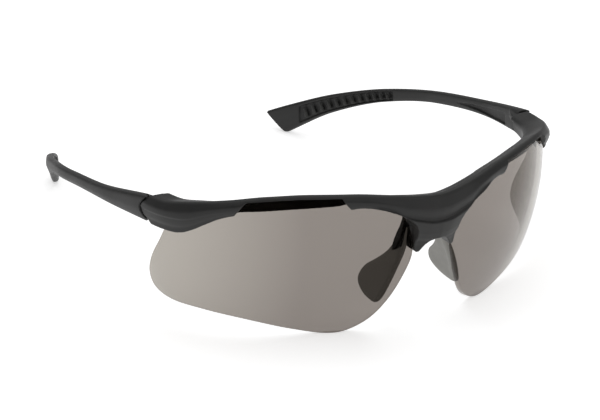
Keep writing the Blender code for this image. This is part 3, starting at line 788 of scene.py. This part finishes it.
def fin(y):
    """One thin fin, broad at the band and pointed at its upper end."""
    rings = []
    for share in spread((0.0, 1.0), 10):
        back = y + 1.2 * share * share - 0.3
        top, bottom, centre, half = temple_section(back)
        height = top - bottom
        z = bottom + height * (GRIP_EDGE[0] + 0.10 + share * (GRIP_EDGE[1] - GRIP_EDGE[0] - 0.16))
        wide = 0.62 * (1 - share) ** 0.7 + 0.13
        face = centre - half
        proud = 0.55 * (1 - share ** 3) + 0.06
        rings.append([vertex(u, v, z) for u, v in (
            (face + 0.5, back - wide), (face - 0.2 * proud, back - wide),
            (face - proud, back - 0.35 * wide), (face - proud, back + 0.35 * wide),
            (face - 0.2 * proud, back + wide), (face + 0.5, back + wide))])
    return loft("grip_fin", rings)


# ---------------------------------------------------------------- screws
def build_screw():
    """The hinge screw with a domed, cross-slotted head."""
    bottom, top = SCREW_Z
    shoulder = bottom + SCREW_HEAD
    profile = [
        (0.05, top), (SCREW_R - 0.12, top), (SCREW_R, top - 0.12), (SCREW_R, shoulder),
        (SCREW_HEAD_R - 0.1, shoulder), (SCREW_HEAD_R, shoulder - 0.1), (SCREW_HEAD_R, bottom + 0.3),
        (SCREW_HEAD_R - 0.12, bottom + 0.12), (SCREW_HEAD_R - 0.4, bottom + 0.02), (0.05, bottom),
    ]
    x, y = HINGE
    turns = [math.tau * i / 48 for i in range(48)]
    rings = []
    for r, z in profile:
        rings.append([vertex(x + r * math.cos(t), y + r * math.sin(t), z) for t in turns])
    screw = loft("screw_guide", rings)
    for long_x, long_y in ((SLOT_LONG, SLOT_WIDE), (SLOT_WIDE, SLOT_LONG)):
        signs = ((-1, -1), (1, -1), (1, 1), (-1, 1))
        outline = [(x + sx * long_x, y + sy * long_y) for sx, sy in signs]
        cut(screw, prism("screw_slot", outline, bottom - 0.5, bottom + 0.35, vertex))
    GUIDES.append(screw)
    return screw


# ---------------------------------------------------------------- assembly
GUIDES = []                     # shapes that are only cutters or sources, removed at the end
# Remesh sizes in millimetres.
FRONT_VOXEL = 0.17
ARM_VOXEL = 0.2
PAD_VOXEL = 0.2
GRIP_VOXEL = 0.16
NYLON = nylon()
# The pads' last number is a painted glow that brightens them where they lie in the frame's shade.
PAD_RUBBER_GLOWING = rubber("pad_rubber_glowing_fine", (0.085, 0.083, 0.076), (0.125, 0.122, 0.114), 0.12)
GRIP_RUBBER = rubber("grip_rubber_fine", (0.026, 0.026, 0.025), (0.042, 0.042, 0.040))
SCREW_STEEL = steel()
LENS_FACE = tinted("lens_tint_fine", (0.49, 0.465, 0.445), (0.635, 0.615, 0.585), 0.012, 0.0)
LENS_EDGE_CUT = tinted("lens_edge_fine", (0.20, 0.19, 0.18), (0.36, 0.35, 0.33), 0.12, 0.05)

dress(build_front(), [NYLON], "black_nylon", "front", "frame_front")
for side, word in ((1, "left"), (-1, "right")):
    lens = build_lens(side, "lens_shell_" + word)
    dress(lens, [LENS_FACE, LENS_EDGE_CUT], "tinted_lens", "front", "lens_" + word)
pad_shape, arm_shape, grip_shape, screw_shape = build_pad(), build_arm(), build_grip(), build_screw()
for side, word in ((1, "left"), (-1, "right")):
    temple = "temple_" + word
    pad = baked(pad_shape, "pad_soft_" + word, side)
    dress(pad, [PAD_RUBBER_GLOWING], "soft_rubber", "front", "nose_pad_" + word)
    dress(baked(arm_shape, "arm_moulding_" + word, side), [NYLON], "black_nylon", temple, temple)
    grip = baked(grip_shape, "grip_soft_" + word, side)
    dress(grip, [GRIP_RUBBER], "soft_rubber", temple, "temple_grip_" + word)
    screw = baked(screw_shape, "screw_turned_" + word, side)
    screw.data.set_sharp_from_angle(angle=math.radians(35))
    dress(screw, [SCREW_STEEL], "steel", "front", "hinge_screw_" + word)
for guide in GUIDES:
    bpy.data.objects.remove(guide)


# ---------------------------------------------------------------- studio
def studio():
    """A white floor and world, with one large softbox above and one in front."""
    bpy.ops.mesh.primitive_plane_add(size=6.0, location=(0, 0, -0.0002))
    floor = bpy.context.object
    floor.name = "studio_floor"
    material, tree, shader, coords = new_material("studio_white")
    link(tree, ramp(tree, noise(tree, coords, 3.0), ((0.2, (0.86, 0.86, 0.86)), (0.8, (0.89, 0.89, 0.89)))),
         shader.inputs["Base Color"])
    shader.inputs["Emission Color"].default_value = (1.0, 1.0, 1.0, 1.0)
    shader.inputs["Emission Strength"].default_value = 0.52
    shader.inputs["Roughness"].default_value = 0.9
    shader.inputs["Specular IOR Level"].default_value = 0.1
    floor.data.materials.append(material)
    world = bpy.data.worlds.new("studio_world")
    bpy.context.scene.world = world
    world.use_nodes = True
    world.node_tree.nodes["Background"].inputs["Color"].default_value = (1.0, 1.0, 1.0, 1.0)
    world.node_tree.nodes["Background"].inputs["Strength"].default_value = 0.30
    lamp("softbox_top", (0.15, 0.35, 1.3), (0.0, 0.0, 0.0), 1.8, 12.5)
    lamp("softbox_front", (0.35, -1.1, 0.75), (0.0, 0.0, 0.02), 0.9, 2.6)


def lamp(name, place, target, size, power):
    """A square area light at a place, facing a target."""
    light = bpy.data.lights.new(name, "AREA")
    light.size = size
    light.energy = power
    obj = bpy.data.objects.new(name, light)
    obj.location = place
    obj.rotation_euler = (Vector(target) - Vector(place)).to_track_quat("-Z", "Y").to_euler()
    bpy.context.scene.collection.objects.link(obj)


def camera():
    """The camera of the photograph's view: its direction, distance and aim, in millimetres."""
    turn, rise = math.radians(-30.88), math.radians(23.145)
    distance, shift_right, shift_up = 700.0, -39.115, 35.49
    back = Vector((math.sin(turn) * math.cos(rise), -math.cos(turn) * math.cos(rise), math.sin(rise)))
    right = Vector((math.cos(turn), math.sin(turn), 0.0))
    up = back.cross(right)
    data = bpy.data.cameras.new("view_camera")
    data.sensor_width = 36.0
    data.lens = 142.2
    data.clip_start = 0.01
    obj = bpy.data.objects.new("view_camera", data)
    place = (back * distance + right * shift_right + up * shift_up + Vector((0.0, -CENTRE_Y, 0.0))) * MM
    obj.matrix_world = Matrix.Translation(place) @ Matrix((right, up, back)).transposed().to_4x4()
    bpy.context.scene.collection.objects.link(obj)
    bpy.context.scene.camera = obj


studio()
camera()
bpy.context.scene.view_settings.view_transform = "Standard"
